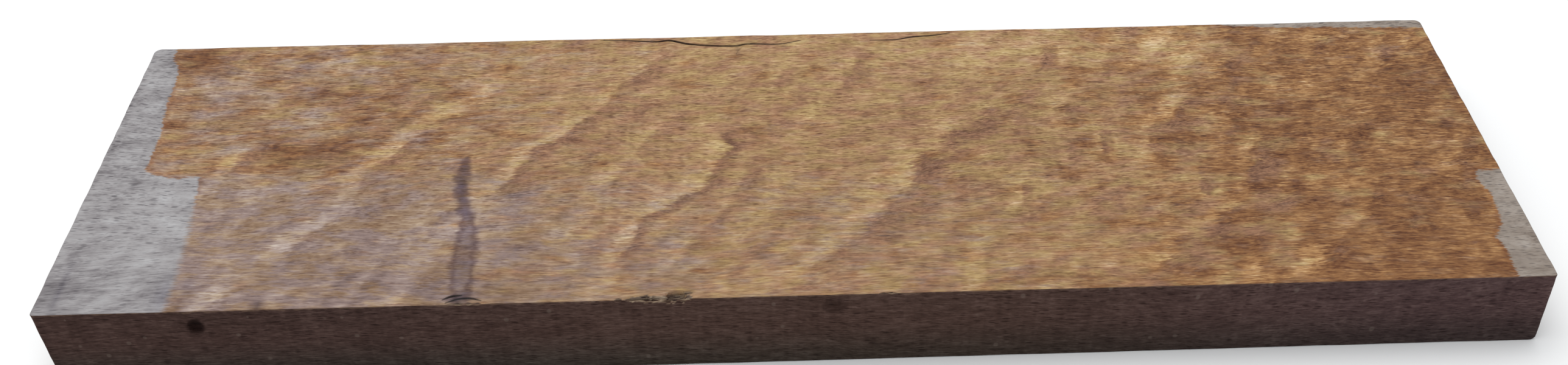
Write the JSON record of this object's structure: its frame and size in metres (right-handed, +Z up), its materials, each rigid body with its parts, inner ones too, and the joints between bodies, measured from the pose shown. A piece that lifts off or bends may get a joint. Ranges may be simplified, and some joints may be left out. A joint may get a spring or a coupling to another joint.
{
  "type": "mahogany billet",
  "caption": "Sawn billet of figured mahogany, a flat rectangular block with eased edges, a torn front arris and long splits beside the back edge; stock for carving or instrument making.",
  "frame": {"origin": "on the underside, at the middle of the billet's length and width", "axes": "+X along the grain to the right end, +Y across the width to the back edge, +Z up through the thickness"},
  "size_m": [0.6141, 0.18, 0.039],
  "materials": {
    "mahogany": "sawn and planed, unfinished, with the middle of the top face wetted to show the figure"
  },
  "bodies": {
    "root": {"billet": "mahogany"}
  },
  "joints": []
}
